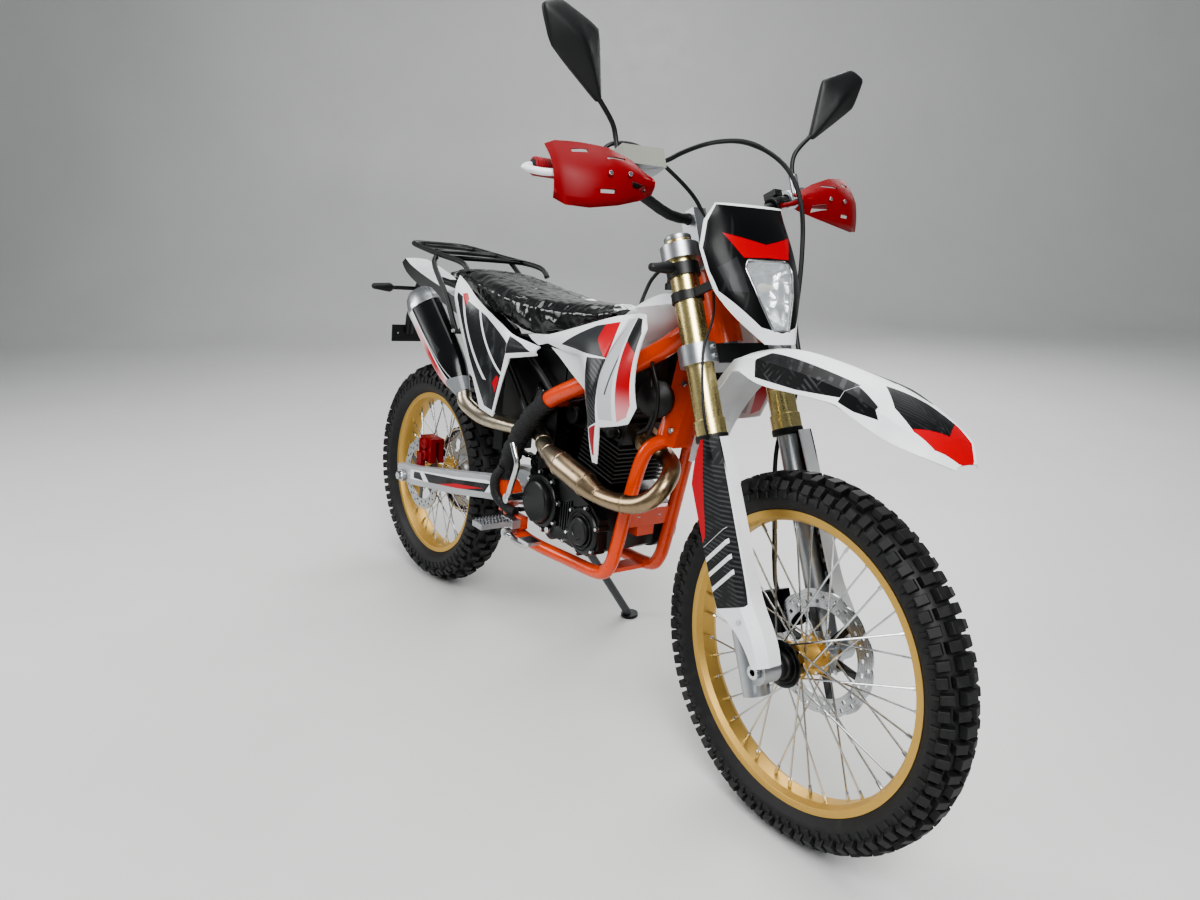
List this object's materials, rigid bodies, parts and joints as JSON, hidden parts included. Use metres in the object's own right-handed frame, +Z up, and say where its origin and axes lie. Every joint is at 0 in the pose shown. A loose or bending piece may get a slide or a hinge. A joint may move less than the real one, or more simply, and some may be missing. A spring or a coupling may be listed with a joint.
{
  "type": "enduro motorcycle",
  "caption": "Single-cylinder enduro motorcycle on its side stand, with knobbly wire wheels, long-travel fork, hand guards, high fenders, luggage rack and plastic bodywork.",
  "frame": {"origin": "middle of the floor under the parked machine's box", "axes": "+X forward, +Y to the rider's left, +Z up; the machine leans to its left on the stand"},
  "size_m": [2.099, 0.8488, 1.4925],
  "materials": {
    "tyre": "matt",
    "gold_rim": "matt gold anodised",
    "hub": "gold hub, bright spokes",
    "disc": "ground",
    "axle": "bright",
    "fork_gold": "polished gold",
    "slider": "satin",
    "clamp": "satin",
    "white_plastic": "gloss white",
    "red_plastic": "gloss red",
    "grip": "red rubber",
    "lens": "clear lens",
    "black_bar": "satin black",
    "lever": "satin",
    "black_plastic": "matt black",
    "hose": "black rubber",
    "frame_orange": "gloss orange",
    "engine_black": "satin black",
    "stainless": "heat-tinted",
    "muffler": "gloss black",
    "alloy": "satin",
    "shock": "satin",
    "chain": "oiled",
    "red_caliper": "anodised red",
    "seat": "black cover",
    "red_lens": "red lens",
    "stand": "grey"
  },
  "bodies": {
    "chassis": {"frame": "frame_orange", "subframe": "black_bar", "crankcase": "engine_black", "clutch_cover": "engine_black", "cylinder": "engine_black", "header": "stainless", "muffler": "muffler", "muffler_cap": "alloy", "swingarm": "alloy", "shock": "shock", "chain": "chain", "rear_caliper": "red_caliper", "tank": "white_plastic", "tank_cap": "black_plastic", "seat": "seat", "shrouds": "white_plastic", "side_panels": "white_plastic", "rear_fender": "white_plastic", "rack": "black_bar", "tail_lamp": "red_lens", "plate_bracket": "black_plastic", "airbox": "black_plastic", "footpegs": "lever", "foot_controls": "lever", "rear_axle": "axle"},
    "steering": {"fork_tubes": "fork_gold", "fork_sliders": "slider", "fork_guards": "white_plastic", "triple_clamps": "clamp", "front_caliper": "alloy", "front_fender": "white_plastic", "mask": "white_plastic", "headlamp": "lens", "handlebar": "black_bar", "grips": "grip", "levers": "lever", "hand_guards": "red_plastic", "guard_frames": "white_plastic", "mirrors": "black_plastic", "front_flashers": "black_plastic", "brake_hose": "hose", "front_axle": "axle"},
    "front_wheel": {"front_tyre": "tyre", "front_rim": "gold_rim", "front_hub": "hub", "front_disc": "disc"},
    "rear_wheel": {"rear_tyre": "tyre", "rear_rim": "gold_rim", "rear_hub": "hub", "rear_disc": "disc", "sprocket": "disc"},
    "side_stand": {"side_stand": "stand"}
  },
  "joints": [
    {"name": "steering", "type": "hinge", "parent": "chassis", "child": "steering", "pos_m": [0.37189, -0.03601, 0.9519], "axis": [-0.4067, 0.1271, 0.9047], "range_deg": [-37, 43]},
    {"name": "front_wheel", "type": "hinge", "parent": "steering", "child": "front_wheel", "pos_m": [0.69998, -0.12349, 0.34898], "axis": [0.0478, 0.9919, -0.1179], "continuous": true},
    {"name": "rear_wheel", "type": "hinge", "parent": "chassis", "child": "rear_wheel", "pos_m": [-0.71996, -0.12357, 0.32883], "axis": [0, 0.9903, -0.1392], "continuous": true},
    {"name": "side_stand", "type": "hinge", "parent": "chassis", "child": "side_stand", "pos_m": [-0.16395, -0.01031, 0.27252], "axis": [0.0696, 0.8789, 0.4719], "range_deg": [0, 98]}
  ]
}
